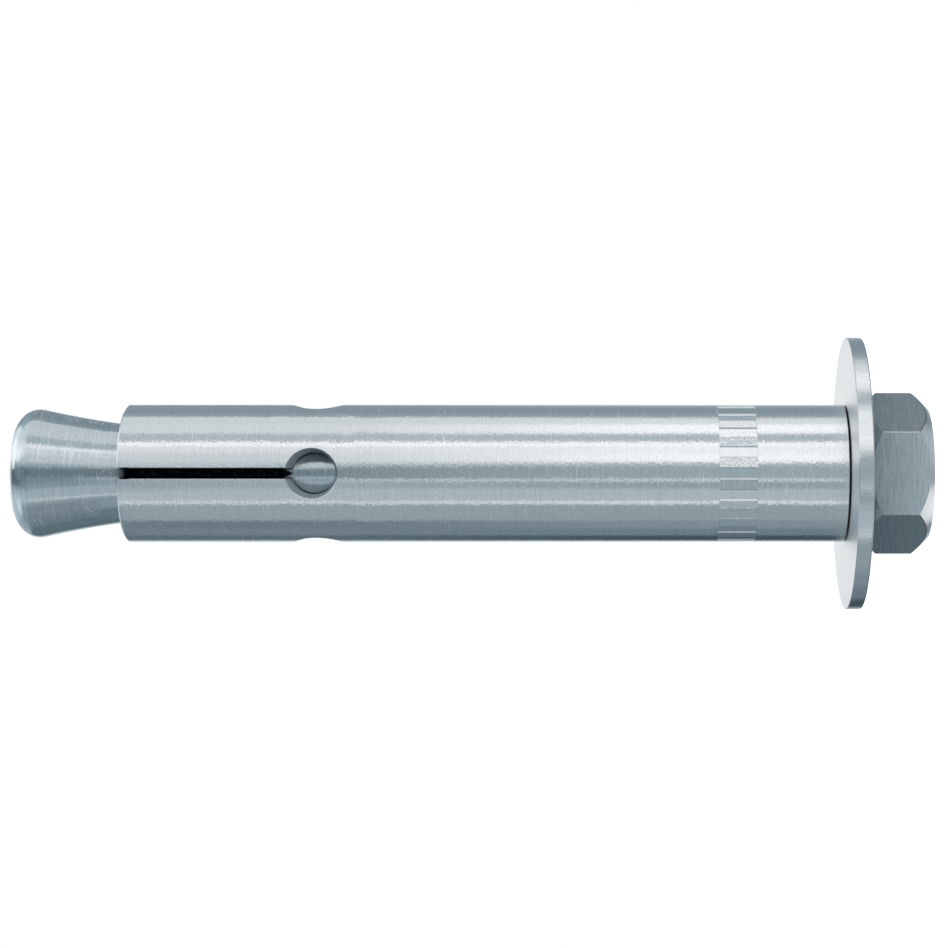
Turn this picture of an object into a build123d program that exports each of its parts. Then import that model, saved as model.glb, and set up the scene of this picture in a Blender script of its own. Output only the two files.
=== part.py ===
from build123d import *
import math
import os

# Undercut anchor, sizes in millimetres
# A flared cone bolt carries a slotted expansion sleeve, a large washer and a hex nut.
# The anchor stands on its nut. The origin is the centre of the nut's outer face, +Z runs along
# the bolt towards the flare, and one relief hole of the sleeve faces -Y.

# Thread of the bolt and the nut
# Both threads are plain cylinders at the pitch diameter.
thread_d = 6.0
thread_pitch = 1.0
thread_length = 18.0
thread_clearance = 0.05

# Hex nut
nut_across_flats = 10.0
nut_height = 4.8
nut_end_circle_d = 9.26
nut_chamfer_angle = 45.0
nut_countersink = 0.35

# Washer
washer_d = 19.4
washer_thickness = 1.05
washer_hole_clearance = 0.2
washer_edge = 0.12

# Expansion sleeve
sleeve_d = 9.8
sleeve_length = 51.0
sleeve_clearance = 0.1
sleeve_edge = 0.12
sleeve_end_gap = 0.12

# Slots and relief holes of the sleeve, one of each on every side
slot_count = 4
slot_width = 0.75
relief_depth = 13.54
relief_outer_d = 3.65
relief_inner_d = 3.05

# Ribbed setting mark round the sleeve
mark_offset = 6.38
mark_width = 2.66
mark_ribs = 20
mark_ledge = 0.01
mark_step = 0.08
mark_flank_angle = 1.0

# Cone bolt
cone_reach = 7.84
cone_d = 9.15
cone_corner_r = 1.5
cone_flare_r = 62.0
stud_recess = 0.2
stud_chamfer = 0.5

# Radii
pitch_r = thread_d / 2 - 3 / 8 * math.cos(math.radians(30)) * thread_pitch
shank_r = thread_d / 2
sleeve_r = sleeve_d / 2
bore_r = shank_r + sleeve_clearance
washer_hole_r = shank_r + washer_hole_clearance

# Heights along the bolt, from the nut's outer face
washer_z = nut_height
sleeve_z = washer_z + washer_thickness + sleeve_end_gap
sleeve_top_z = sleeve_z + sleeve_length
relief_z = sleeve_top_z - relief_depth
mark_z = sleeve_z + mark_offset
cone_top_z = sleeve_top_z + cone_reach
thread_top_z = stud_recess + thread_length

# The flare is a hollow arc that leaves the shank at its root and meets the rounded corner.
# The two arcs touch where the line through their centres crosses them.
corner_x = cone_d / 2 - cone_corner_r
corner_z = cone_top_z - cone_corner_r
flare_x = shank_r + cone_flare_r
flare_drop = math.sqrt((cone_flare_r + cone_corner_r) ** 2 - (flare_x - corner_x) ** 2)
flare_root_z = corner_z - flare_drop
corner_share = cone_corner_r / (cone_flare_r + cone_corner_r)
touch_x = corner_x + corner_share * (flare_x - corner_x)
touch_z = corner_z - corner_share * flare_drop

# The mouth of the sleeve clears the part of the flare that lies inside it
flare_at_mouth_r = flare_x - math.sqrt(cone_flare_r ** 2 - (sleeve_top_z - flare_root_z) ** 2)
mouth_r = flare_at_mouth_r + sleeve_clearance


def make_cone_bolt():
    """Turned bolt: rounded flare on top, plain shank, thinner threaded stretch with a bevelled end."""
    bevel_r = pitch_r - stud_chamfer
    shoulder_z = thread_top_z + shank_r - pitch_r
    with BuildPart() as bolt:
        with BuildSketch(Plane.XZ):
            with BuildLine():
                Polyline(
                    (corner_x, cone_top_z),
                    (0, cone_top_z),
                    (0, stud_recess),
                    (bevel_r, stud_recess),
                    (pitch_r, stud_recess + stud_chamfer),
                    (pitch_r, thread_top_z),
                    (shank_r, shoulder_z),
                    (shank_r, flare_root_z),
                )
                TangentArc((shank_r, flare_root_z), (touch_x, touch_z), tangent=(0, 1))
                TangentArc((corner_x, cone_top_z), (touch_x, touch_z), tangent=(1, 0))
            make_face()
        revolve(axis=Axis.Z)
    return bolt.part


def make_sleeve_tube():
    """Turned tube with broken edges, and a bore that widens towards the flare."""
    with BuildPart() as tube:
        with BuildSketch(Plane.XZ):
            with BuildLine():
                Polyline(
                    (bore_r, sleeve_z),
                    (sleeve_r - sleeve_edge, sleeve_z),
                    (sleeve_r, sleeve_z + sleeve_edge),
                    (sleeve_r, sleeve_top_z - sleeve_edge),
                    (sleeve_r - sleeve_edge, sleeve_top_z),
                    (mouth_r, sleeve_top_z),
                    (bore_r, flare_root_z),
                    close=True,
                )
            make_face()
        revolve(axis=Axis.Z)
    return tube.part


def make_slot_cutter(angle):
    """Saw cut from the sleeve's top end down to its relief hole, through the wall on one side."""
    blade = Box(
        sleeve_d, slot_width, relief_depth + sleeve_edge,
        align=(Align.MIN, Align.CENTER, Align.MIN),
    )
    return Rot(0, 0, angle) * Pos(0, 0, relief_z) * blade


def make_relief_cutter(angle):
    """Tapered drill that leaves the wider circle on the outside of the sleeve's wall."""
    wall = sleeve_r - bore_r
    taper = (relief_outer_d - relief_inner_d) / 2 / wall
    inner_r = relief_inner_d / 2 - taper * bore_r
    outer_r = relief_outer_d / 2 + taper * wall
    drill = Cone(
        inner_r, outer_r, sleeve_r + wall,
        align=(Align.CENTER, Align.CENTER, Align.MIN),
    )
    return Rot(0, 0, angle) * Pos(0, 0, relief_z) * Rot(0, 90, 0) * drill


def make_mark_cutter():
    """Ring that leaves flat raised ribs and flat lower lands, with sloping flanks between them."""
    pitch_angle = 360 / mark_ribs
    rib_r = sleeve_r - mark_ledge
    land_r = rib_r - mark_step
    half_flat = (pitch_angle / 2 - mark_flank_angle) / 2
    half_pitch = pitch_angle / 2
    corners = [(-half_flat, land_r), (half_flat, land_r)]
    corners += [(half_pitch - half_flat, rib_r), (half_pitch + half_flat, rib_r)]
    outline = []
    for rib in range(mark_ribs):
        for angle, radius in corners:
            turn = math.radians(rib * pitch_angle + angle)
            outline.append((radius * math.cos(turn), radius * math.sin(turn)))
    with BuildPart() as cutter:
        with BuildSketch(Plane.XY.offset(mark_z)):
            Circle(sleeve_d)
            with BuildLine():
                Polyline(*outline, close=True)
            make_face(mode=Mode.SUBTRACT)
        extrude(amount=mark_width)
    return cutter.part


def make_expansion_sleeve():
    """Sleeve with sawn slots, relief holes at their ends and the ribbed setting mark."""
    sleeve = make_sleeve_tube() - make_mark_cutter()
    for side in range(slot_count):
        angle = side * 360 / slot_count - 90
        sleeve = sleeve - make_slot_cutter(angle) - make_relief_cutter(angle)
    return sleeve


def make_washer():
    """Flat punched ring with broken outer edges."""
    top_z = washer_z + washer_thickness
    rim_r = washer_d / 2
    with BuildPart() as washer:
        with BuildSketch(Plane.XZ):
            with BuildLine():
                Polyline(
                    (washer_hole_r, washer_z),
                    (rim_r - washer_edge, washer_z),
                    (rim_r, washer_z + washer_edge),
                    (rim_r, top_z - washer_edge),
                    (rim_r - washer_edge, top_z),
                    (washer_hole_r, top_z),
                    close=True,
                )
            make_face()
        revolve(axis=Axis.Z)
    return washer.part


def make_nut_envelope():
    """Turned blank of the nut: chamfered at both ends, with a countersunk bore."""
    end_r = nut_end_circle_d / 2
    corner_r = nut_across_flats / math.sqrt(3)
    blank_r = corner_r + thread_pitch
    slope = 1 / math.tan(math.radians(nut_chamfer_angle))
    chamfer_z = (blank_r - end_r) * slope
    hole_r = pitch_r + thread_clearance
    with BuildPart() as blank:
        with BuildSketch(Plane.XZ):
            with BuildLine():
                Polyline(
                    (hole_r + nut_countersink, 0),
                    (end_r, 0),
                    (blank_r, chamfer_z),
                    (blank_r, nut_height - chamfer_z),
                    (end_r, nut_height),
                    (hole_r + nut_countersink, nut_height),
                    (hole_r, nut_height - nut_countersink),
                    (hole_r, nut_countersink),
                    close=True,
                )
            make_face()
        revolve(axis=Axis.Z)
    return blank.part


def make_hex_nut():
    """Hexagon with a flat towards -Y, cut by the turned blank."""
    hexagon = RegularPolygon(nut_across_flats / math.sqrt(3), 6)
    return extrude(hexagon, nut_height) & make_nut_envelope()


os.makedirs("parts", exist_ok=True)
export_step(make_cone_bolt(), "parts/cone_bolt.step")
export_step(make_expansion_sleeve(), "parts/expansion_sleeve.step")
export_step(make_washer(), "parts/washer.step")
export_step(make_hex_nut(), "parts/hex_nut.step")
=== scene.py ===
import math
import bmesh
import bpy
import numpy as np
from mathutils import Matrix, Vector


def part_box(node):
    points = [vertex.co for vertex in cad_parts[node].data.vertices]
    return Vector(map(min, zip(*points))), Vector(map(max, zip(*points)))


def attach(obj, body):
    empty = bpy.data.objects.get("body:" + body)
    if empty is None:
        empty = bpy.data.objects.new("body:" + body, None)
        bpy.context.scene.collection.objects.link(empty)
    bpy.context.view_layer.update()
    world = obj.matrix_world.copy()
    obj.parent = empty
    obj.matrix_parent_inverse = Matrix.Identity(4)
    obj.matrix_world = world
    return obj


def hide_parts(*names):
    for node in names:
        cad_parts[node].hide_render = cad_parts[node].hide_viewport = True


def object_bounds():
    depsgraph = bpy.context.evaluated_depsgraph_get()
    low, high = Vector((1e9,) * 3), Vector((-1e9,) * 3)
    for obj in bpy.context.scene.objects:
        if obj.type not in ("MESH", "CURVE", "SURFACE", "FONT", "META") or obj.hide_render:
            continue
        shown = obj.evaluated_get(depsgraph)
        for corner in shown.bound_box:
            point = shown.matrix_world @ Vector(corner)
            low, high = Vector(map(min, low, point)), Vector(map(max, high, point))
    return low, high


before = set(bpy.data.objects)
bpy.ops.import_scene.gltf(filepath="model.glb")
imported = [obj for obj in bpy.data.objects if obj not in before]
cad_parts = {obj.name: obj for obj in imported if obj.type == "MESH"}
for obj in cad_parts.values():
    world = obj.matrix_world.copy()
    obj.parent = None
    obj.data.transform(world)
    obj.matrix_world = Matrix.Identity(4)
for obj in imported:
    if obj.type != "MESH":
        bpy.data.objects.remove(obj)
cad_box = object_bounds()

# Cone bolt
# One turned steel bar: a flare with a rounded corner on top, a plain shank and a rolled M6 thread.
# It is zinc plated. Only the flare shows, and a little of the shank through the sleeve's holes.
mm = 0.001    # lengths in this file are in mm, and z runs up from the nut's end face
bolt_low, bolt_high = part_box("cone_bolt")
stud_z = bolt_low.z / mm
cone_top_z = bolt_high.z / mm
cone_r = 4.575
corner_r = 1.5
flare_r = 62.0
shank_r = 3.0
thread_pitch = 1.0
thread_crest_r = 2.95
thread_root_r = 2.387
thread_top_z = 18.2
thread_run_out = 0.3 * thread_pitch
stud_bevel_r = 2.175
crest_share = 1 / 8
root_share = 1 / 4

# Rows and columns of the mesh, the width of the narrow faces that keep a flat face flat beside
# a round edge, and the distance within which points fall together
thread_rows = 12
flare_rows = 40
corner_rows = 20
bolt_columns = 144
hold = 0.03
merge_gap = 0.0002

# Zinc on turned steel. The marks are 0.02 mm apart on the real piece and are drawn coarser, so
# that they show. Sizes are across the marks twice and then along the piece.
turning_marks = (0.24, 0.24, 0.09)
plating_streaks = (3.5, 3.5, 0.13)
tone_low = 0.65
tone_high = 1.35
roughness_spread = 0.05

# Handling scratches: angle to the edge, spacing along and across them, and share
scratch_layers = (
    (4, 4.6, 0.05, 1.2),
    (-9, 3.0, 0.05, 1.0),
    (43, 3.4, 0.05, 0.4),
    (128, 2.4, 0.05, 0.4),
)
scratch_edge = 0.26
scratch_core = 0.06
scratch_strength = 0.75
scratch_roughness = 0.2
scratch_dulling = 0.6
scratch_colour = "#F2F5F6"

# Painted shade on the strips of the bolt under the slots, where shade falls deep in the narrow
# cuts: ends, fades at the ends, half widths, how sharp the point is, and the size of its specks,
# their span of the noise and how dense the thin ones are
slot_shade_low_z = 44.75
slot_shade_high_z = 57.3
slot_shade_low_fade = 0.25
slot_shade_high_fade = 0.65
slot_shade_half = 0.5
slot_shade_core_half = 0.38
slot_shade_point = 2.0
slot_shade_speck = 0.3
slot_shade_span = (0.5, 0.8)
slot_shade_thin = 0.93
slot_shade_colour = "#0B0E10"

# The flare leaves the shank at its root and touches the rounded corner
corner_x = cone_r - corner_r
corner_z = cone_top_z - corner_r
flare_x = shank_r + flare_r
flare_drop = math.sqrt((flare_r + corner_r) ** 2 - (flare_x - corner_x) ** 2)
flare_root_z = corner_z - flare_drop
touch_angle = -math.asin(flare_drop / (flare_r + corner_r))
touch_z = corner_z + corner_r * math.sin(touch_angle)


def thread_radius(height, angle):
    """Screw thread: the radius falls from crest to root with the distance from the helix.
    The helix is at height = pitch * angle / full turn, and the distance is measured in pitches."""
    share = np.abs((height / thread_pitch - angle / math.tau + 0.5) % 1.0 - 0.5)
    slope = (share - crest_share / 2) / (0.5 - crest_share / 2 - root_share / 2)
    return thread_crest_r + (thread_root_r - thread_crest_r) * np.clip(slope, 0, 1)


def turned(radius, height, columns):
    """Lathe surface: x = radius cos a, y = radius sin a, z = height, with a over a full turn.
    The radius may change with the angle too. The second grid is the surface unrolled flat."""
    angle = np.linspace(0, math.tau, columns + 1)[None, :]
    radius = radius + 0 * angle
    height = height + 0 * angle
    points = np.stack([radius * np.cos(angle), radius * np.sin(angle), height], axis=2)
    flat = np.stack([np.max(radius) * angle + 0 * height, height], axis=2)
    return points, flat, 0


def make_piece(name, sheets):
    """Joins grids of points, in mm, into one closed mesh: each cell of a grid is one face, and
    points that fall together are merged. The unrolled grids become the UV map, in metres, and
    the number beside each grid says which of the piece's finishes it has."""
    corners = []
    places = []
    faces = []
    finishes = []
    start = 0
    for points, flat, which in sheets:
        rows, columns = points.shape[:2]
        index = start + np.arange(rows * columns).reshape(rows, columns)
        cell = [index[:-1, :-1], index[:-1, 1:], index[1:, 1:], index[1:, :-1]]
        faces.append(np.stack([side.ravel() for side in cell], axis=1))
        finishes.append(np.full((rows - 1) * (columns - 1), which))
        corners.append(points.reshape(-1, 3) * mm)
        places.append(flat.reshape(-1, 2) * mm)
        start += rows * columns
    faces = np.concatenate(faces)
    mesh = bpy.data.meshes.new(name)
    mesh.from_pydata(np.concatenate(corners).tolist(), [], faces.tolist())
    layer = mesh.uv_layers.new(name="unrolled")
    layer.data.foreach_set("uv", np.concatenate(places)[faces.ravel()].ravel())
    mesh.polygons.foreach_set("material_index", np.concatenate(finishes).astype(np.int32))
    shell = bmesh.new()
    shell.from_mesh(mesh)
    bmesh.ops.remove_doubles(shell, verts=shell.verts, dist=merge_gap * mm)
    shell.to_mesh(mesh)
    shell.free()
    mesh.shade_smooth()
    piece = bpy.data.objects.new(name, mesh)
    bpy.context.scene.collection.objects.link(piece)
    return piece


def make_bolt():
    """Profile of the bolt carried round Z: end face, thread, shank, hollow flare arc, corner arc.
    The flare's radius = its centre - root of (its own radius squared - height above its root
    squared)."""
    angle = np.linspace(0, math.tau, bolt_columns + 1)[None, :]
    run_out_z = thread_top_z + thread_run_out
    rows = int(thread_rows * (run_out_z - stud_z) / thread_pitch)
    thread_z = np.linspace(stud_z, run_out_z, rows)[:, None]
    bevel = stud_bevel_r + (thread_z - stud_z)
    run_out = shank_r - (run_out_z - thread_z) * (shank_r - thread_root_r) / thread_pitch
    thread_r = np.minimum(np.maximum(thread_radius(thread_z, angle), run_out), bevel)
    flare_z = np.linspace(flare_root_z, touch_z, flare_rows)
    flare = flare_x - np.sqrt(flare_r ** 2 - (flare_z - flare_root_z) ** 2)
    turn = np.linspace(touch_angle, math.pi / 2, corner_rows)[1:]
    round_r = corner_x + corner_r * np.cos(turn)
    round_z = corner_z + corner_r * np.sin(turn)
    rest_r = [shank_r, *flare, *round_r, corner_x - hold, 0]
    rest_z = [run_out_z + hold, *flare_z, *round_z, cone_top_z, cone_top_z]
    end_r = np.array([0, stud_bevel_r - hold])[:, None] + 0 * angle
    radius = np.concatenate([end_r, thread_r, np.array(rest_r)[:, None] + 0 * angle])
    height = np.concatenate([np.full((2, 1), stud_z), thread_z, np.array(rest_z)[:, None]])
    return make_piece("cone_bolt_finish", [turned(radius, height, bolt_columns)])


def linear(code):
    """sRGB hex code to linear colour, by the sRGB curve."""
    share = np.array([int(code[i:i + 2], 16) / 255 for i in (1, 3, 5)])
    light = np.where(share > 0.04045, ((share + 0.055) / 1.055) ** 2.4, share / 12.92)
    return (*light.tolist(), 1.0)


def add(tree, kind, inputs=None, **settings):
    """Adds one node with its settings. Each input gets a value, or a link from a socket or from
    the first output of a node."""
    node = tree.nodes.new(kind)
    for name, value in settings.items():
        setattr(node, name, value)
    for name, value in (inputs or {}).items():
        if isinstance(value, bpy.types.Node):
            value = value.outputs[0]
        if isinstance(value, bpy.types.NodeSocket):
            tree.links.new(value, node.inputs[name])
        else:
            node.inputs[name].default_value = value
    return node


def new_finish(name):
    """One new finish and its empty node tree."""
    finish = bpy.data.materials.new(name)
    finish.use_nodes = True
    finish.node_tree.nodes.clear()
    return finish, finish.node_tree


def spaced(sizes):
    """Scale for a pattern whose marks have the given sizes along X, Y and Z."""
    return tuple(1 / (size * mm) for size in sizes)


def scratch_mask(tree, unrolled, angle, length, width, kept):
    """Short straight scratches: long thin cells across the unrolled surface, turned by the angle,
    each with one soft dash round its own point. A share is kept, each deep or faint by chance."""
    cell = add(tree, "ShaderNodeMapping", {
        "Vector": unrolled,
        "Rotation": (0, 0, math.radians(angle)),
    })
    stretched = add(tree, "ShaderNodeMapping", {
        "Vector": cell,
        "Scale": (1 / (length * mm), 1 / (width * mm), 1),
    })
    points = add(tree, "ShaderNodeTexVoronoi", {
        "Vector": stretched,
        "Scale": 1.0,
    }, voronoi_dimensions="2D", feature="F1")
    near = add(tree, "ShaderNodeMapRange", {
        "Value": points.outputs["Distance"],
        "From Min": scratch_edge,
        "From Max": scratch_core,
        "To Max": scratch_strength,
    })
    chance = add(tree, "ShaderNodeSeparateColor", {"Color": points.outputs["Color"]})
    lucky = add(tree, "ShaderNodeMath", {0: chance, 1: kept}, operation="LESS_THAN")
    strength = add(tree, "ShaderNodeMath", {
        0: chance.outputs[1],
        1: lucky,
    }, operation="MULTIPLY")
    return add(tree, "ShaderNodeMath", {0: near, 1: strength}, operation="MULTIPLY")


def from_axis(tree, place):
    """The three coordinates, and the distance from the axis: root of (x squared + y squared)."""
    axes = add(tree, "ShaderNodeSeparateXYZ", {"Vector": place}).outputs
    level = add(tree, "ShaderNodeCombineXYZ", {"X": axes["X"], "Y": axes["Y"]})
    away = add(tree, "ShaderNodeVectorMath", {0: level}, operation="LENGTH")
    return axes, away.outputs["Value"]


def along_profile(tree, place):
    """Object coordinates with height - distance from Z as the third, which only grows on the way
    up the side of a turned piece and in over its end: marks across it run round the piece."""
    axes, away = from_axis(tree, place)
    path = add(tree, "ShaderNodeMath", {0: axes["Z"], 1: away}, operation="SUBTRACT")
    return add(tree, "ShaderNodeCombineXYZ", {"X": axes["X"], "Y": axes["Y"], "Z": path})


def turned_zinc(name, pale, deep, roughness, marks_depth, scratched):
    """Turned steel with bright zinc plating. Metal, with fine turning marks round the axis that
    fray the edges of its reflections, and short handling scratches, dull and pale, across them."""
    finish, tree = new_finish(name)
    place = add(tree, "ShaderNodeTexCoord")
    profile = along_profile(tree, place.outputs["Object"])
    marks = add(tree, "ShaderNodeMapping", {"Vector": profile, "Scale": spaced(turning_marks)})
    mark_noise = add(tree, "ShaderNodeTexNoise", {"Vector": marks, "Scale": 1.0, "Detail": 1.0})
    # Longer streaks of paler and deeper plating, which run round the piece as the marks do
    streaks = add(tree, "ShaderNodeMapping", {
        "Vector": profile,
        "Scale": spaced(plating_streaks),
    })
    streak_noise = add(tree, "ShaderNodeTexNoise", {
        "Vector": streaks,
        "Scale": 1.0,
        "Detail": 4.0,
        "Roughness": 0.6,
    })
    tone = add(tree, "ShaderNodeMath", {
        0: mark_noise.outputs["Fac"],
        1: streak_noise.outputs["Fac"],
    })
    shade = add(tree, "ShaderNodeMapRange", {
        "Value": tone,
        "From Min": tone_low,
        "From Max": tone_high,
    })
    colour = add(tree, "ShaderNodeMix", {
        "Factor": shade,
        "A": linear(deep),
        "B": linear(pale),
    }, data_type="RGBA")
    scratches = None
    for angle, length, width, share in scratch_layers:
        layer = scratch_mask(tree, place.outputs["UV"], angle, length, width, scratched * share)
        if scratches is None:
            scratches = layer
        else:
            scratches = add(tree, "ShaderNodeMath", {
                0: scratches,
                1: layer,
            }, operation="MAXIMUM")
    smooth = add(tree, "ShaderNodeMapRange", {
        "Value": streak_noise.outputs["Fac"],
        "To Min": roughness - roughness_spread,
        "To Max": roughness + roughness_spread,
    })
    worn = add(tree, "ShaderNodeMath", {
        0: scratches,
        1: scratch_roughness,
        2: smooth,
    }, operation="MULTIPLY_ADD")
    matt = add(tree, "ShaderNodeMath", {
        0: scratches,
        1: -scratch_dulling,
        2: 1.0,
    }, operation="MULTIPLY_ADD")
    shown = add(tree, "ShaderNodeMix", {
        "Factor": scratches,
        "A": colour.outputs["Result"],
        "B": linear(scratch_colour),
    }, data_type="RGBA")
    relief = add(tree, "ShaderNodeBump", {
        "Height": mark_noise.outputs["Fac"],
        "Distance": marks_depth * mm,
    })
    axis = add(tree, "ShaderNodeTangent", direction_type="RADIAL", axis="Z")
    metal = add(tree, "ShaderNodeBsdfPrincipled", {
        "Base Color": shown.outputs["Result"],
        "Metallic": matt,
        "Roughness": worn,
        "Anisotropic": 0.7,
        "Anisotropic Rotation": 0.25,
        "Tangent": axis,
        "Normal": relief,
    })
    add(tree, "ShaderNodeOutputMaterial", {"Surface": metal})
    return finish


def paint_shade_over(finish, cover, colour):
    """Lays painted shade over the finish's own colour, as densely as the cover says."""
    tree = finish.node_tree
    metal = next(node for node in tree.nodes if node.type == "BSDF_PRINCIPLED")
    shaded_colour = add(tree, "ShaderNodeMix", {
        "Factor": cover,
        "A": metal.inputs["Base Color"].links[0].from_socket,
        "B": linear(colour),
    }, data_type="RGBA")
    tree.links.new(shaded_colour.outputs["Result"], metal.inputs["Base Color"])
    return finish


def patches(tree, place, size, span, thin):
    """Soft patches of painted shade: full at the low end of the noise's span, thin at its high
    end.
    """
    noise = add(tree, "ShaderNodeTexNoise", {
        "Vector": place,
        "Scale": 1 / (size * mm),
        "Detail": 3.0,
    })
    return add(tree, "ShaderNodeMapRange", {
        "Value": noise.outputs["Fac"],
        "From Min": span[0],
        "From Max": span[1],
        "To Min": 1.0,
        "To Max": thin,
    })


def paint_shade_under_slots(finish):
    """Painted shade on the strips of the bolt that lie under the sleeve's narrow slots, where
    shade falls deep in the cuts. Each strip ends in a point at the relief hole: its end lies lower
    the nearer to its middle."""
    tree = finish.node_tree
    place = add(tree, "ShaderNodeTexCoord").outputs["Object"]
    axes = add(tree, "ShaderNodeSeparateXYZ", {"Vector": place})
    sides = add(tree, "ShaderNodeVectorMath", {0: place}, operation="ABSOLUTE")
    sides = add(tree, "ShaderNodeSeparateXYZ", {"Vector": sides})
    aside = add(tree, "ShaderNodeMath", {
        0: sides.outputs["X"],
        1: sides.outputs["Y"],
    }, operation="MINIMUM")
    strip = add(tree, "ShaderNodeMapRange", {
        "Value": aside,
        "From Min": slot_shade_half * mm,
        "From Max": slot_shade_core_half * mm,
    })
    pointed = add(tree, "ShaderNodeMath", {
        0: aside,
        1: -slot_shade_point,
        2: axes.outputs["Z"],
    }, operation="MULTIPLY_ADD")
    start = add(tree, "ShaderNodeMapRange", {
        "Value": pointed,
        "From Min": slot_shade_low_z * mm,
        "From Max": (slot_shade_low_z + slot_shade_low_fade) * mm,
    })
    end = add(tree, "ShaderNodeMapRange", {
        "Value": axes.outputs["Z"],
        "From Min": slot_shade_high_z * mm,
        "From Max": (slot_shade_high_z - slot_shade_high_fade) * mm,
    })
    slot_shade = patches(tree, place, slot_shade_speck, slot_shade_span, slot_shade_thin)
    for limit in (strip, start, end):
        slot_shade = add(tree, "ShaderNodeMath", {0: slot_shade, 1: limit}, operation="MULTIPLY")
    return paint_shade_over(finish, slot_shade, slot_shade_colour)


bolt = make_bolt()
bolt_zinc = turned_zinc(
    "turned_zinc_bolt", pale="#E3E9EC", deep="#CDD5D9", roughness=0.2, marks_depth=0.0055,
    scratched=0.12,
)
# Painted shade under the slots goes onto the bolt's finish
bolt.data.materials.append(paint_shade_under_slots(bolt_zinc))
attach(bolt, "bolt")
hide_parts("cone_bolt")

# Expansion sleeve
# One turned steel tube, zinc plated. Four saw cuts end in four drilled relief holes, so that the
# fingers can spread over the cone, and a ring of raised ribs near the washer is the setting mark.
sleeve_low, sleeve_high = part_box("expansion_sleeve")
sleeve_z = sleeve_low.z / mm
sleeve_top_z = sleeve_high.z / mm
sleeve_r = 4.9
bore_r = 3.1
mouth_r = bore_r + flare_x - shank_r - math.sqrt(flare_r ** 2 - (sleeve_top_z - flare_root_z) ** 2)
end_break = 0.1
low_break = 0.05
side_break = 0.03
bore_break = 0.05
slots = 4
slot_half = 0.38
relief_below_end = 13.54
relief_z = sleeve_top_z - relief_below_end
relief_outer_r = 1.825
relief_inner_r = 1.525
patch_half = 3.2
patch_low_z = relief_z - patch_half
patch_high_z = relief_z + patch_half
side_half = 45.0
finger_middle = math.radians(side_half)
end_cells = 10
finger_cells = 12
side_cells = 8
body_rows = 9
wall_rows = 5
hole_rounds = 8
sharp_angle = 12
slack = 0.001
patch_shares = np.array([0, 0.07, 0.18, 0.33, 0.52, 0.74, 1])

# Ring of flat raised ribs and flat lower lands, with a steep flank of one degree between them
mark_above_end = 6.38
mark_height = 2.66
mark_z = sleeve_z + mark_above_end
mark_top_z = mark_z + mark_height
mark_slope = 0.02
rib_r = 4.89
land_r = 4.81
step_r = (land_r + rib_r) / 2
mark_pitch = 18.0
flat_half = 4.0
flat_columns = 5

# Fine finish of the sleeve: grain of the ribs and marks of the saw and drill, size and depth
rib_grain = 0.11
rib_grain_depth = 0.0025
rib_dulling = 0.04
flank_width = 0.02
flank_dulling = 0.35
tool_mark = 0.2
tool_mark_depth = 0.006


def bore_at(height):
    """Radius of the bore: plain up to the flare's root, then a straight taper to the mouth."""
    rise = np.clip((height - flare_root_z) / (sleeve_top_z - flare_root_z), 0, 1)
    return bore_r + (mouth_r - bore_r) * rise


def unrolled_grid(radius, angle, height, sector):
    """Points at an angle and height on a radius, turned to one of the four sides of the sleeve."""
    turn = angle + sector * math.tau / slots - math.pi / 2
    points = np.stack([radius * np.cos(turn), radius * np.sin(turn), height], axis=-1)
    return points, np.stack([sleeve_r * turn, height], axis=-1), 0


def rib_columns():
    """Angles of one side's columns, in degrees: each flat in four steps, each flank in one."""
    steps = np.arange(-2, 3) * mark_pitch
    flats = np.linspace(-flat_half, flat_half, flat_columns)
    lands = (steps[:, None] + flats[None, :]).ravel()
    ribs = (steps[:, None] + mark_pitch / 2 + flats[None, :]).ravel()
    both = np.concatenate([lands, ribs, ribs - mark_pitch])
    inside = both[np.abs(both) <= side_half + slack]
    return np.unique(np.round(inside, 6))


def mark_radius(angle):
    """Flat facets: radius = corner radius * cos(half facet) / cos(angle from its middle)."""
    from_land = (angle + mark_pitch / 2) % mark_pitch - mark_pitch / 2
    on_land = np.abs(from_land) <= flat_half + slack
    from_middle = np.where(on_land, from_land, np.abs(from_land) - mark_pitch / 2)
    corner = np.where(on_land, land_r, rib_r)
    return corner * math.cos(math.radians(flat_half)) / np.cos(np.radians(from_middle))


def plain_end():
    """Sleeve below the relief holes: a path up the bore, round the end and up the outside.
    Along the setting mark the outside takes the radius of the flat facets."""
    column = rib_columns()
    facets = mark_radius(column)
    plain = np.full(column.shape, 1.0)
    path = [
        (bore_r * plain, patch_low_z),
        (bore_r * plain, (patch_low_z + sleeve_z) / 2),
        (bore_r * plain, sleeve_z + bore_break),
        ((bore_r + bore_break) * plain, sleeve_z),
        ((sleeve_r - low_break) * plain, sleeve_z),
        (sleeve_r * plain, sleeve_z + low_break),
        (sleeve_r * plain, mark_z),
        (facets, mark_z + mark_slope),
        (facets, mark_top_z - mark_slope),
        (sleeve_r * plain, mark_top_z),
    ]
    levels = np.linspace(mark_top_z, patch_low_z, body_rows)[1:]
    path += [(sleeve_r * plain, level) for level in levels]
    radius = np.array([step[0] for step in path])
    height = np.array([step[1] for step in path])[:, None] * plain
    angle = np.radians(column)[None, :] + 0 * radius
    return [unrolled_grid(radius, angle, height, sector) for sector in range(slots)]


def hole_line(radius, half, extra, way):
    """Edge of the tapered relief hole on a cylinder of the given radius, between the slot's sides.
    In the hole's own plane it is a circle whose radius grows with the depth along its axis:
    across = hole radius * sin(way), down = hole radius * cos(way)."""
    taper = (relief_outer_r - relief_inner_r) / (sleeve_r - bore_r)
    end_hole = relief_inner_r + taper * (np.sqrt(radius ** 2 - half ** 2) - bore_r) + extra
    way = way * (math.pi - np.arcsin(half / end_hole))
    across = end_hole * np.sin(way)
    for _ in range(hole_rounds):
        hole = relief_inner_r + taper * (np.sqrt(radius ** 2 - across ** 2) - bore_r) + extra
        across = hole * np.sin(way)
    return np.arcsin(across / radius), relief_z - hole * np.cos(way)


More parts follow.
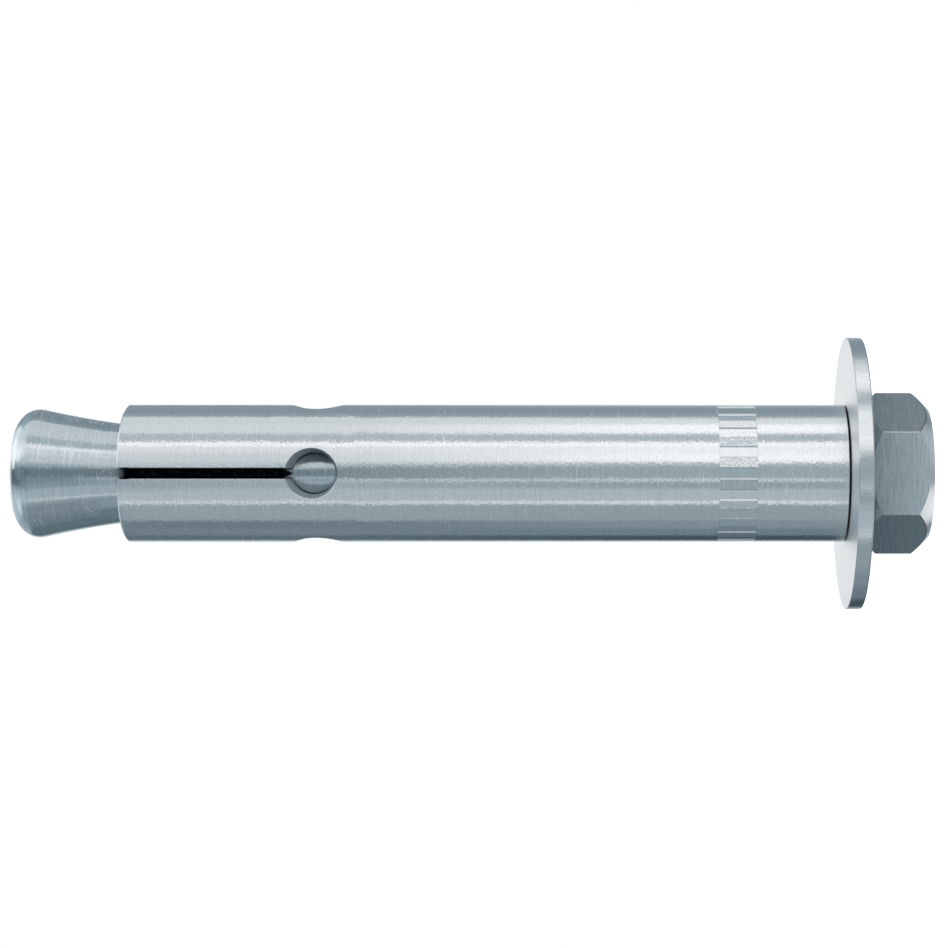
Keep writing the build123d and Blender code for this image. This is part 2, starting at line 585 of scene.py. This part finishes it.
def patch_frame(radius, half):
    """Outer edge of the patch round a hole: from the slot's left side round to its right side."""
    slot_angle = math.asin(half / radius)
    top = np.linspace(slot_angle, finger_middle, end_cells + 1)
    side = np.linspace(patch_high_z, patch_low_z, side_cells + 1)
    column = np.radians(rib_columns())
    flat = np.ones(side_cells - 1)
    angle = np.concatenate([-top, -finger_middle * flat, column, finger_middle * flat, top[::-1]])
    height = np.concatenate([
        np.full(end_cells + 1, patch_high_z), side[1:-1], np.full(len(column), patch_low_z),
        side[1:-1][::-1], np.full(end_cells + 1, patch_high_z),
    ])
    way = np.arctan2(angle * radius, relief_z - height)
    return angle, height, way / way[-1]


def patch_grid(radius, half, extra):
    """Ruled patch round a hole: each line runs straight from the patch's edge to the hole's."""
    frame_angle, frame_height, way = patch_frame(radius, half)
    hole_angle, hole_height = hole_line(radius, half, extra, way)
    share = patch_shares[::-1, None]
    return (hole_angle + (frame_angle - hole_angle) * share,
            hole_height + (frame_height - hole_height) * share)


def finger_grid(radius_at, half, end_z):
    """Half a finger, from the slot's side to its middle, on the bore or the outside."""
    height = np.linspace(patch_high_z, end_z, finger_cells + 1)[:, None]
    share = np.linspace(0, 1, end_cells + 1)[None, :]
    slot_angle = np.arcsin(half / radius_at(height))
    return slot_angle + (finger_middle - slot_angle) * share, height + 0 * share


def cut_line(radius_at, half, extra, end_z):
    """The edge that the cuts leave on one side of the sleeve, as radius, angle and height: along
    the end, down one side of the slot, round the hole, up the other side and along the end."""
    patch_angle, patch_height = patch_grid(radius_at(relief_z), half, extra)
    finger_angle, finger_height = finger_grid(radius_at, half, end_z)
    hole_angle, hole_height = patch_angle[-1], patch_height[-1]
    right_angle = [patch_angle[::-1, -1][1:], finger_angle[1:, 0], finger_angle[-1, 1:]]
    right_height = [patch_height[::-1, -1][1:], finger_height[1:, 0], finger_height[-1, 1:]]
    right_angle = np.concatenate(right_angle)
    right_height = np.concatenate(right_height)
    angle = np.concatenate([-right_angle[::-1], hole_angle, right_angle])
    height = np.concatenate([right_height[::-1], hole_height, right_height])
    return radius_at(height), angle, height


def outside_at(height):
    """Radius of the outside, which is plain beside the cuts."""
    return sleeve_r + 0 * height


def cut_walls():
    """Walls of the cuts: the cut edge carried from the outside through the wall to the bore, with
    a broken edge at both. Radius = outside - share * (outside - bore)."""
    outer = cut_line(outside_at, slot_half + side_break, side_break, sleeve_top_z - end_break)
    inner = cut_line(bore_at, slot_half + bore_break, bore_break, sleeve_top_z - bore_break)
    rows = [outer]
    for share in np.linspace(0, 1, wall_rows):
        def depth(height, share=share):
            at_end = np.asarray(height) > sleeve_top_z - slack
            out = sleeve_r - np.where(at_end, end_break, side_break)
            return out + (bore_at(height) + bore_break - out) * share
        rows.append(cut_line(depth, slot_half, 0.0, sleeve_top_z))
    rows.append(inner)
    radius, angle, height = (np.array([row[i] for row in rows]) for i in range(3))
    slot_end = end_cells + finger_cells + len(patch_shares) - 1
    parts = (
        (0, end_cells + 1, 0), (end_cells, slot_end + 1, 1), (slot_end, -slot_end, 2),
        (-slot_end - 1, -end_cells, 1), (-end_cells - 1, None, 0),
    )
    sheets = []
    for sector in range(slots):
        points, flat, plated = unrolled_grid(radius, angle, height, sector)
        sheets.append((points[:2], flat[:2], plated))
        for first, last, which in parts:
            sheets.append((points[1:, first:last], flat[1:, first:last], which))
    return sheets


def cut_skins():
    """Outside and bore beside the cuts: on each side a patch round the hole and half fingers."""
    sheets = []
    skins = (
        (outside_at, side_break, end_break, False),
        (bore_at, bore_break, bore_break, True),
    )
    for radius_at, edge, end_edge, flip in skins:
        half = slot_half + edge
        patch = patch_grid(radius_at(relief_z), half, edge)
        finger = finger_grid(radius_at, half, sleeve_top_z - end_edge)
        mirrored = (-finger[0][:, ::-1], finger[1][:, ::-1])
        for angle, height in (patch, finger, mirrored):
            for sector in range(slots):
                points, flat, plated = unrolled_grid(radius_at(height), angle, height, sector)
                if flip:
                    points, flat = points[:, ::-1], flat[:, ::-1]
                sheets.append((points, flat, int(flip)))
    return sheets


def grain_ribs(finish):
    """Rolled grain on the raised ribs of the setting mark, which the lower lands don't have, and
    rough flanks between the two."""
    tree = finish.node_tree
    metal = next(node for node in tree.nodes if node.type == "BSDF_PRINCIPLED")
    relief = next(node for node in tree.nodes if node.type == "BUMP")
    place = add(tree, "ShaderNodeTexCoord")
    axes, away = from_axis(tree, place.outputs["Object"])
    raised = add(tree, "ShaderNodeMath", {0: away, 1: step_r * mm}, operation="GREATER_THAN")
    flank = add(tree, "ShaderNodeMath", {
        0: away,
        1: step_r * mm,
        2: flank_width * mm,
    }, operation="COMPARE")
    level = add(tree, "ShaderNodeMath", {
        0: axes["Z"],
        1: (mark_z + mark_top_z) / 2 * mm,
        2: (mark_top_z - mark_z) / 2 * mm,
    }, operation="COMPARE")
    on_rib = add(tree, "ShaderNodeMath", {0: raised, 1: level}, operation="MULTIPLY")
    on_flank = add(tree, "ShaderNodeMath", {0: flank, 1: level}, operation="MULTIPLY")
    grain = add(tree, "ShaderNodeTexNoise", {
        "Vector": place.outputs["Object"],
        "Scale": 1 / (rib_grain * mm),
        "Detail": 1.0,
        "Distortion": 0.8,
    })
    height = add(tree, "ShaderNodeMath", {
        0: grain.outputs["Fac"],
        1: on_rib,
    }, operation="MULTIPLY")
    ribs = add(tree, "ShaderNodeBump", {
        "Height": height,
        "Distance": rib_grain_depth * mm,
        "Normal": relief,
    })
    tree.links.new(ribs.outputs[0], metal.inputs["Normal"])
    rough = add(tree, "ShaderNodeMath", {
        0: on_flank,
        1: flank_dulling,
        2: metal.inputs["Roughness"].links[0].from_socket,
    }, operation="MULTIPLY_ADD")
    dull = add(tree, "ShaderNodeMath", {
        0: on_rib,
        1: rib_dulling,
        2: rough,
    }, operation="MULTIPLY_ADD")
    tree.links.new(dull.outputs[0], metal.inputs["Roughness"])
    return finish


def sawn_steel(name, deep, pale, bare):
    """Sawn or drilled steel that the plating reached thinly: darker and rougher than outside,
    with fine tool marks. The last value says how much of it is bare metal under its dull film."""
    finish, tree = new_finish(name)
    place = add(tree, "ShaderNodeTexCoord")
    tool = add(tree, "ShaderNodeTexNoise", {
        "Vector": place.outputs["Object"],
        "Scale": 1 / (tool_mark * mm),
        "Detail": 3.0,
    })
    relief = add(tree, "ShaderNodeBump", {
        "Height": tool.outputs["Fac"],
        "Distance": tool_mark_depth * mm,
    })
    colour = add(tree, "ShaderNodeMix", {
        "Factor": tool.outputs["Fac"],
        "A": linear(deep),
        "B": linear(pale),
    }, data_type="RGBA")
    metal = add(tree, "ShaderNodeBsdfPrincipled", {
        "Base Color": colour.outputs["Result"],
        "Metallic": bare,
        "Roughness": 0.5,
        "Normal": relief,
    })
    add(tree, "ShaderNodeOutputMaterial", {"Surface": metal})
    return finish


sleeve = make_piece("expansion_sleeve_finish", plain_end() + cut_walls() + cut_skins())
sleeve.data.set_sharp_from_angle(angle=math.radians(sharp_angle))
sleeve_zinc = turned_zinc(
    "turned_zinc_sleeve", pale="#F3F5F6", deep="#E6E9EB", roughness=0.16, marks_depth=0.0115,
    scratched=0.03,
)
slot_steel = sawn_steel("sawn_slot_steel", deep="#545C61", pale="#737C81", bare=1.0)
hole_steel = sawn_steel("drilled_hole_steel", deep="#66737B", pale="#7F8C94", bare=0.12)
for finish in (grain_ribs(sleeve_zinc), slot_steel, hole_steel):
    sleeve.data.materials.append(finish)
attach(sleeve, "sleeve")
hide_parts("expansion_sleeve")

# Washer
# One large flat ring punched from steel sheet and zinc plated. Its faces are pale and even, and
# the punched rim is a little torn. It slides on the bolt between the sleeve and the nut.
washer_low, washer_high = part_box("washer")
washer_z = washer_low.z / mm
washer_top_z = washer_high.z / mm
washer_r = 9.7
washer_hole_r = 3.2
washer_round = 0.07
round_rows = 5
washer_columns = 240

# Sizes and depths of the marks on the rolled faces and on the torn rim, and the ring of painted
# shade in the gap under the sleeve's end: distances inwards from the sleeve's edge, then its
# patches as for the painted shade on the bolt
rolled_marks = (0.7, 0.7, 0.7)
punched_marks = (0.065, 0.065, 0.6)
zinc_pale = "#FCFDFD"
contact_shade_edge = (0.02, 0.09)
contact_shade_inner = (1.2, 0.5)
contact_shade_patch = 2.4
contact_shade_span = (0.35, 0.7)
contact_shade_thin = 0.55
contact_shade_colour = "#171B1E"


def rounded(radius, height, sign_r, sign_z, size):
    """Quarter circle at a corner of a profile, from the flat face to the upright side."""
    turn = np.linspace(0, math.pi / 2, round_rows)
    return (radius - sign_r * size * (1 - np.sin(turn)),
            height - sign_z * size * (1 - np.cos(turn)))


def make_washer():
    """Closed profile carried round Z, with round corners: upper face, rim, lower face and hole."""
    low_out = rounded(washer_r, washer_z, 1, -1, washer_round)
    top_out = rounded(washer_r, washer_top_z, 1, 1, washer_round)
    low_in = rounded(washer_hole_r, washer_z, -1, -1, washer_round)
    top_in = rounded(washer_hole_r, washer_top_z, -1, 1, washer_round)
    held = [washer_top_z - washer_round - hold, washer_z + washer_round + hold]
    near_rim = washer_r - washer_round - hold
    near_hole = washer_hole_r + washer_round + hold
    profiles = (
        ([top_in[0][0], near_hole, near_rim, top_out[0][0]], [washer_top_z] * 4, 0),
        (np.concatenate([top_out[0], [washer_r] * 2, low_out[0][::-1]]),
         np.concatenate([top_out[1], held, low_out[1][::-1]]), 1),
        ([low_out[0][0], near_rim, near_hole, low_in[0][0]], [washer_z] * 4, 0),
        (np.concatenate([low_in[0], [washer_hole_r] * 2, top_in[0][::-1]]),
         np.concatenate([low_in[1], held[::-1], top_in[1][::-1]]), 1),
    )
    sheets = []
    for radius, height, which in profiles:
        profile = (np.array(side)[::-1, None] for side in (radius, height))
        points, flat, _ = turned(*profile, washer_columns)
        sheets.append((points, flat, which))
    return make_piece("washer_finish", sheets)


def zinc_sheet(name, deep, roughness, marks, depth):
    """Bright zinc plating on sheet steel: very pale, with marks of the given sizes and depth."""
    finish, tree = new_finish(name)
    place = add(tree, "ShaderNodeTexCoord")
    marked = add(tree, "ShaderNodeMapping", {
        "Vector": place.outputs["Object"],
        "Scale": spaced(marks),
    })
    noise = add(tree, "ShaderNodeTexNoise", {
        "Vector": marked,
        "Scale": 1.0,
        "Detail": 3.0,
        "Roughness": 0.6,
    })
    relief = add(tree, "ShaderNodeBump", {"Height": noise.outputs["Fac"], "Distance": depth * mm})
    colour = add(tree, "ShaderNodeMix", {
        "Factor": noise.outputs["Fac"],
        "A": linear(deep),
        "B": linear(zinc_pale),
    }, data_type="RGBA")
    metal = add(tree, "ShaderNodeBsdfPrincipled", {
        "Base Color": colour.outputs["Result"],
        "Metallic": 1.0,
        "Roughness": roughness,
        "Normal": relief,
    })
    add(tree, "ShaderNodeOutputMaterial", {"Surface": metal})
    return finish


def paint_contact_shade(finish):
    """An uneven ring of painted shade on the face, where the edge of the sleeve's end presses on
    it and the narrow gap between them lies in shade.
    """
    tree = finish.node_tree
    place = add(tree, "ShaderNodeTexCoord").outputs["Object"]
    away = from_axis(tree, place)[1]
    outside, inside = (
        add(tree, "ShaderNodeMapRange", {
            "Value": away,
            "From Min": (sleeve_r - clean) * mm,
            "From Max": (sleeve_r - dark) * mm,
        }) for clean, dark in (contact_shade_edge, contact_shade_inner)
    )
    contact_shade = patches(tree, place, contact_shade_patch, contact_shade_span, contact_shade_thin)
    for limit in (outside, inside):
        contact_shade = add(tree, "ShaderNodeMath", {0: contact_shade, 1: limit}, operation="MULTIPLY")
    return paint_shade_over(finish, contact_shade, contact_shade_colour)


washer = make_washer()
rolled = zinc_sheet(
    "rolled_zinc", deep="#F0F3F4", roughness=0.42, marks=rolled_marks, depth=0.003,
)
punched = zinc_sheet(
    "punched_zinc", deep="#CBD2D6", roughness=0.2, marks=punched_marks, depth=0.0035,
)
# Painted shade in the gap under the sleeve's end goes onto the washer's faces
washer.data.materials.append(paint_contact_shade(rolled))
washer.data.materials.append(punched)
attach(washer, "washer")
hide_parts("washer")

# Hex nut
# One pressed steel hexagon, M6, turned to a chamfer at both ends, tapped and zinc plated in a
# darker shade. It stands on its end face, and one flat faces the camera.
nut_low, nut_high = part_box("hex_nut")
nut_z = nut_low.z / mm
nut_top_z = nut_high.z / mm
nut_half = 5.0
nut_end_r = 4.63
nut_minor_r = 2.46
nut_clearance = 0.06
nut_countersink_r = 3.05
nut_edge = 0.07
nut_edge_angle = 25
nut_inside_r = 0.85 * nut_half
nut_face_share = 0.9
chamfer_rows = 5
side_rows = 7
nut_columns = 144

# Zinc on the pressed nut: brushed marks, speckle, depth, and a painted gradient of light, darker
# at the washer's side and paler towards the end face
brushed_marks = (1.8, 1.8, 0.1)
speckle_size = 0.14
speckle_share = 0.5
brushed_depth = 0.005
painted_inner_shade = -0.62
painted_end_light = 0.12


def make_nut():
    """Section at each angle: end face, 45 degree chamfer cone, flat side, and the tapped hole.
    A flat side has radius = half width / cos(angle from its middle), and the chamfer cone ends
    where it reaches that radius."""
    angle = np.linspace(0, math.tau, nut_columns + 1)[None, :]
    half_flat = math.tau / 12
    from_flat = (angle + half_flat + math.pi / 2) % (2 * half_flat) - half_flat
    side = nut_half / np.cos(from_flat)
    chamfer = side - nut_end_r
    share = np.linspace(0, 1, chamfer_rows)[:, None]
    low_chamfer = nut_end_r + chamfer * share
    low_height = nut_z + chamfer * share
    side_share = np.linspace(0, 1, side_rows)[1:-1, None]
    side_height = nut_z + chamfer + (nut_top_z - nut_z - 2 * chamfer) * side_share
    high_chamfer = nut_end_r + chamfer * share[::-1]
    high_height = nut_top_z - chamfer * share[::-1]
    tapped = np.linspace(nut_top_z, nut_z, int(thread_rows * (nut_top_z - nut_z)) + 1)[:, None]
    groove = np.clip(thread_radius(tapped, angle) + nut_clearance, nut_minor_r, shank_r)
    sink = nut_countersink_r - np.minimum(nut_top_z - tapped, tapped - nut_z)
    bore = np.maximum(groove, sink)
    ring_share = np.array([[(nut_countersink_r + hold) / nut_end_r], [nut_face_share]])
    ring = nut_end_r * ring_share + 0 * angle
    radius = np.concatenate([
        bore[-1:], ring, low_chamfer, side + 0 * side_height, high_chamfer, ring[::-1], bore,
    ])
    height = np.concatenate([
        tapped[-1:] + 0 * angle, nut_z + 0 * ring, low_height, side_height, high_height,
        nut_top_z + 0 * ring, tapped + 0 * angle,
    ])
    return make_piece("hex_nut_finish", [turned(radius, height, nut_columns)])


def soften_edges(piece, inside_r):
    """Small rounding on the sharp outer edges, which a thread's own edges don't get."""
    shell = bmesh.new()
    shell.from_mesh(piece.data)
    weight = shell.edges.layers.float.new("bevel_weight_edge")
    for edge in shell.edges:
        middle = (edge.verts[0].co + edge.verts[1].co) / 2
        if edge.is_manifold and middle.xy.length > inside_r * mm:
            edge[weight] = float(edge.calc_face_angle() > math.radians(nut_edge_angle))
    shell.to_mesh(piece.data)
    shell.free()
    bevel = piece.modifiers.new("rounding", "BEVEL")
    bevel.limit_method = "WEIGHT"
    bevel.width = nut_edge * mm
    bevel.segments = 3
    bevel.harden_normals = True


def pressed_zinc(name, deep, pale):
    """Pressed and tapped steel with a darker zinc plating, brushed across its flats, and a painted
    gradient of light that grows paler towards its end face."""
    finish, tree = new_finish(name)
    place = add(tree, "ShaderNodeTexCoord")
    drawn = add(tree, "ShaderNodeMapping", {
        "Vector": place.outputs["Object"],
        "Scale": spaced(brushed_marks),
    })
    drawn_noise = add(tree, "ShaderNodeTexNoise", {
        "Vector": drawn,
        "Scale": 1.0,
        "Detail": 4.0,
        "Roughness": 0.6,
    })
    speckle = add(tree, "ShaderNodeTexNoise", {
        "Vector": place.outputs["Object"],
        "Scale": 1 / (speckle_size * mm),
        "Detail": 3.0,
    })
    height = add(tree, "ShaderNodeMath", {
        0: speckle.outputs["Fac"],
        1: speckle_share,
        2: drawn_noise.outputs["Fac"],
    }, operation="MULTIPLY_ADD")
    relief = add(tree, "ShaderNodeBump", {"Height": height, "Distance": brushed_depth * mm})
    axes = add(tree, "ShaderNodeSeparateXYZ", {"Vector": place.outputs["Object"]})
    # Painted light: the colour grows paler from the washer's side down to the end face
    painted_light_gradient = add(tree, "ShaderNodeMapRange", {
        "Value": axes.outputs["Z"],
        "From Min": nut_top_z * mm,
        "From Max": nut_z * mm,
        "To Min": painted_inner_shade,
        "To Max": painted_end_light,
    })
    tone = add(tree, "ShaderNodeMath", {0: height, 1: painted_light_gradient})
    colour = add(tree, "ShaderNodeMix", {
        "Factor": tone,
        "A": linear(deep),
        "B": linear(pale),
    }, data_type="RGBA")
    metal = add(tree, "ShaderNodeBsdfPrincipled", {
        "Base Color": colour.outputs["Result"],
        "Metallic": 1.0,
        "Roughness": 0.3,
        "Normal": relief,
    })
    add(tree, "ShaderNodeOutputMaterial", {"Surface": metal})
    return finish


nut = make_nut()
soften_edges(nut, nut_inside_r)
nut.data.materials.append(pressed_zinc("pressed_zinc", deep="#99A4AA", pale="#EFF3F5"))
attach(nut, "nut")
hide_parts("hex_nut")

# Floor and background
# A plain white floor that keeps the soft shadow of the anchor, in front of a plain white world.
# It lies just under the place that the nut reaches when it is turned back.
floor_half = 1500.0
floor_drop = 3.6
floor_glow = 0.93
world_light = 0.15


def make_floor():
    """One flat square under the anchor."""
    reach = np.array([-floor_half, floor_half])
    across, along = np.meshgrid(reach, reach)
    points = np.stack([across, along, 0 * across + cad_box[0].z / mm - floor_drop], axis=2)
    return make_piece("floor", [(points, points[:, :, :2], 0)])


def white_floor(name):
    """Matt white paper, which shines a little, so that its lit part is as pale as the world."""
    finish, tree = new_finish(name)
    glow = add(tree, "ShaderNodeEmission", {"Color": linear("#FFFFFF"), "Strength": floor_glow})
    paper = add(tree, "ShaderNodeBsdfDiffuse", {"Color": linear("#F2F2F2")})
    both = add(tree, "ShaderNodeAddShader", {0: glow, 1: paper})
    add(tree, "ShaderNodeOutputMaterial", {"Surface": both})
    return finish


def white_world():
    """White where the camera, a reflection or glass looks at it, and a dim light elsewhere."""
    world = bpy.data.worlds.new("white_surround")
    world.use_nodes = True
    tree = world.node_tree
    tree.nodes.clear()
    path = add(tree, "ShaderNodeLightPath")
    seen = add(tree, "ShaderNodeMath", {
        0: path.outputs["Is Camera Ray"],
        1: path.outputs["Is Glossy Ray"],
    }, operation="MAXIMUM")
    seen = add(tree, "ShaderNodeMath", {
        0: seen,
        1: path.outputs["Is Transmission Ray"],
    }, operation="MAXIMUM")
    strength = add(tree, "ShaderNodeMapRange", {
        "Value": seen,
        "To Min": world_light,
        "To Max": 1.0,
    })
    light = add(tree, "ShaderNodeBackground", {
        "Color": linear("#FFFFFF"),
        "Strength": strength,
    })
    add(tree, "ShaderNodeOutputWorld", {"Surface": light})
    bpy.context.scene.world = world


floor = make_floor()
floor.data.materials.append(white_floor("white_paper"))
floor.visible_glossy = False
white_world()

# Studio cards
# Plain paper cards stand in a ring round the anchor, over it and under it, and only show in its
# reflections. Their angles run from the camera's side towards the top of the photograph.
card_away = 60.0
card_columns = 9
disc_columns = 48
ring_low = -60.0
ring_top = 85.0
card_light = 1.12
high_light = 1.4
fade_low_z = 18.0
fade_high_z = 50.0
below_low_z = -13.0
below_high_z = -3.0

# Name, from and to, shade, shade towards the top, and share of its light at its foot
ring_cards = (
    ("rear_top", 146, 164, "#A9B4BA", "#88969E", 1.0),
    ("rear_upper", 116, 146, "#84929A", "#84929A", 0.3),
    ("upper_shade", 105, 116, "#8D9BA3", "#8D9BA3", 0.36),
    ("upper_line", 102, 105, "#B4BCC0", "#E0E4E6", 0.35),
    ("upper_pale", 86.7, 102, "#D8DCDE", "#CBD1D4", 0.35),
    ("upper_white", 67.4, 86.7, "#FBFCFC", "#D0D5D7", 0.35),
    ("upper_grey", 51.8, 67.4, "#ACB7BD", "#ACB7BD", 0.35),
    ("key_line", 44.7, 51.8, "#FFFFFF", "#FBFCFC", 0.35),
    ("key", 32, 44.7, "#F0F2F3", "#D7DBDD", 0.5),
    ("key_core", 17.3, 32, "#FAFBFB", "#C8CED0", 0.6),
    ("key_side", 12, 17.3, "#A9B4BA", "#BBC5CA", 0.8),
    ("front", -9.4, 12, "#98A5AC", "#808F97", 1.0),
    ("front_line", -11.7, -9.4, "#EEF3F5", "#D0D6D9", 0.8),
    ("front_lower", -24, -11.7, "#8F9CA4", "#9AA7AE", 1.0),
    ("lower_pale", -46.5, -24, "#AAB5BB", "#AAB5BB", 1.0),
    ("lower_line", -49.7, -46.5, "#F4F8F9", "#DEE3E5", 0.8),
    ("lower_grey", -83, -49.7, "#8F9CA3", "#929FA6", 0.6),
    ("lower_slate", -102, -83, "#808E95", "#6C7A82", 0.6),
    ("lower_dark", -124, -102, "#6E7D85", "#717F87", 0.36),
    ("rear_dark", -149, -124, "#415058", "#5C6B73", 0.8),
    ("rear_low", -164, -149, "#AEB9BF", "#AEB9BF", 1.0),
)

# Cards that darken what the flare reflects. The crown hangs before the ring, and the flags stand
# so close to it that nothing else reflects them. Name, from and to, ends, distance and shade.
crown_away = 59.0
crown_low_z = 50.0
crown_side_z = 70.0
flag_away = 12.0
flag_low_z = 58.3
flag_high_z = 65.8
near_cards = (
    ("crown_front", -9.5, 9, crown_low_z, ring_top, crown_away, "#66747C"),
    ("crown_line", -15, -9.5, crown_side_z, ring_top, crown_away, "#66747C"),
    ("crown_lower", -30, -15, crown_side_z, ring_top, crown_away, "#7E8C94"),
    ("flag_key_side", 9.5, 15.5, flag_low_z, flag_high_z, flag_away, "#A3AFB5"),
    ("flag_front", -10.5, -4.5, flag_low_z, flag_high_z, flag_away, "#7F8C94"),
    ("flag_front_lower", -15.5, -10.5, flag_low_z, flag_high_z, flag_away, "#84919A"),
    ("flag_lower_pale", -22.5, -15.5, flag_low_z, flag_high_z, flag_away, "#8E9BA2"),
    ("flag_lower_grey", -68, -50, flag_low_z, flag_high_z, flag_away, "#838F97"),
    ("flag_lower_dim", -79, -68, flag_low_z, flag_high_z, flag_away, "#7A878F"),
    ("flag_slate", -93, -79, flag_low_z, flag_high_z, flag_away, "#75828A"),
    ("flag_low_slate", -118, -93, flag_low_z, flag_high_z, flag_away, "#66747C"),
)

# Cards above the ring, which the rounded corner of the flare reflects: from and to, and a shade
# for each level
high_levels = (85.0, 115.0, 150.0, 200.0)
high_cards = (
    (165, 195, ("#E8ECED", "#FEFEFE", "#D5DBDE")),
    (195, 225, ("#98A4AB", "#B4BEC3", "#BBC5CA")),
    (225, 255, ("#88959D", "#9BA7AE", "#A9B4BA")),
    (255, 300, ("#78868E", "#CDD3D6", "#ACB7BD")),
    (300, 315, ("#A1ADB3", "#A9B4BA", "#A3AFB5")),
    (315, 330, ("#9CA8AF", "#95A1A8", "#7A8890")),
    (330, 345, ("#76838B", "#5B6870", "#56636B")),
    (-15, 15, ("#65737B", "#6E7C84", "#68767E")),
    (15, 30, ("#AEB9BF", "#A1ADB3", "#8D99A1")),
    (30, 60, ("#D6DADC", "#DEE2E3", "#F6F7F7")),
    (60, 105, ("#BFC8CC", "#C3CBCF", "#E6EAEC")),
    (105, 135, ("#8B99A1", "#DCE1E3", "#F4F6F6")),
    (135, 165, ("#7A8890", "#C6CED2", "#F0F2F3")),
)

# Level discs: name, middle as x, y and z, radius, shade and light
flat_cards = (
    ("ceiling", 0, 0, 200.0, card_away, "#5F6D75", 1.1),
    ("ceiling_glint", 38, 6, 199.0, 29.5, "#FFFFFF", 1.5),
    ("ceiling_pale", -44, 4, 199.0, 20.0, "#C9D1D5", 1.1),
    ("base", 0, 0, ring_low, card_away, "#9DA9B0", 1.0),
    ("nut_upper", 4.5, -1.5, -8.0, 4.0, "#B9C3C8", 1.0),
    ("nut_lower", -6, -1, -8.0, 4.5, "#FFFFFF", 1.0),
)


def card_paper(name, shade, top_shade, light, below):
    """Card that shines in its own shade, turns to its other shade towards its top, where the
    sleeve's far end sees it, and dims towards its foot, where the nut sees it."""
    finish, tree = new_finish(name)
    place = add(tree, "ShaderNodeTexCoord")
    axes = add(tree, "ShaderNodeSeparateXYZ", {"Vector": place.outputs["Object"]})
    rise = add(tree, "ShaderNodeMapRange", {
        "Value": axes.outputs["Z"],
        "From Min": fade_low_z * mm,
        "From Max": fade_high_z * mm,
    })
    colour = add(tree, "ShaderNodeMix", {
        "Factor": rise,
        "A": linear(shade),
        "B": linear(top_shade),
    }, data_type="RGBA")
    strength = add(tree, "ShaderNodeMapRange", {
        "Value": axes.outputs["Z"],
        "From Min": below_high_z * mm,
        "From Max": below_low_z * mm,
        "To Min": light,
        "To Max": light * below,
    })
    glow = add(tree, "ShaderNodeEmission", {
        "Color": colour.outputs["Result"],
        "Strength": strength,
    })
    add(tree, "ShaderNodeOutputMaterial", {"Surface": glow})
    return finish


def set_up_card(name, points, light, shade, top_shade=None, below=1.0):
    """Makes a card that shows in reflections and not in the picture, the floor or the shadows."""
    card = make_piece("card_" + name, [(points, points[:, :, :2], 0)])
    paper = card_paper("card_" + name, shade, top_shade or shade, light, below)
    card.data.materials.append(paper)
    card.visible_camera = False
    card.visible_diffuse = False
    card.visible_shadow = False


def upright_grid(low, high, low_z, high_z, away=card_away):
    """Upright strip of a cylinder round the anchor: x = away sin a, y = -away cos a."""
    angle = np.radians(np.linspace(low, high, card_columns))[None, :]
    height = np.array([low_z, high_z])[:, None]
    across = away * np.sin(angle) + 0 * height
    along = -away * np.cos(angle) + 0 * height
    return np.stack([across, along, height + 0 * angle], axis=2)


for name, low, high, shade, top_shade, below in ring_cards:
    grid = upright_grid(low, high, ring_low, ring_top)
    set_up_card(name, grid, card_light, shade, top_shade, below)
for name, low, high, low_z, high_z, away, shade in near_cards:
    set_up_card(name, upright_grid(low, high, low_z, high_z, away), card_light, shade)
for row, (low, high, shades) in enumerate(high_cards):
    for level, shade in enumerate(shades):
        grid = upright_grid(low, high, high_levels[level], high_levels[level + 1])
        set_up_card("high_%d_%d" % (row, level), grid, high_light, shade)
for name, x, y, z, radius, shade, light in flat_cards:
    disc = turned(np.array([[0.0], [radius]]), np.full((2, 1), z), disc_columns)[0]
    set_up_card(name, disc + np.array([x, y, 0.0]), light, shade)

# Lamps
# A large soft lamp over the anchor gives the floor its soft shadow. A smaller one beside the
# camera, towards the top of the photograph, lights the dull walls of the holes from that side.
lamp_aim = Vector((0, 0, 30)) * mm


def soft_lamp(name, place, size, watts):
    """Square lamp turned to the anchor, which doesn't show in the picture or in reflections."""
    light = bpy.data.lights.new(name, "AREA")
    light.shape = "SQUARE"
    light.size = size * mm
    light.energy = watts
    lamp = bpy.data.objects.new(name, light)
    lamp.location = Vector(place) * mm
    lamp.rotation_euler = (lamp_aim - lamp.location).to_track_quat("-Z", "Y").to_euler()
    lamp.visible_camera = False
    lamp.visible_glossy = False
    bpy.context.scene.collection.objects.link(lamp)


soft_lamp("over_lamp", place=(150, -200, 500), size=400, watts=1.2)
soft_lamp("side_lamp", place=(360, -340, 30), size=300, watts=3.2)

# Camera
# It looks along +Y from the side of one relief hole, turned so that the flare points left. Its
# lens and its small shift are those of the photograph.
camera_x = -0.046
camera_z = 23.0
camera_away = 167.4
camera_lens = 88.87
framing_shift = -0.138
camera_data = bpy.data.cameras.new("camera")
camera_data.lens = camera_lens
camera_data.shift_x = framing_shift
camera = bpy.data.objects.new("camera", camera_data)
camera_place = Vector((camera_x, -camera_away, camera_z)) * mm
right = Vector((0, 0, -1))
upward = Vector((1, 0, 0))
backward = Vector((0, -1, 0))
turn = Matrix((right, upward, backward)).transposed().to_4x4()
camera.matrix_world = Matrix.Translation(camera_place) @ turn
bpy.context.scene.collection.objects.link(camera)
bpy.context.scene.camera = camera
bpy.context.scene.view_settings.view_transform = "Standard"
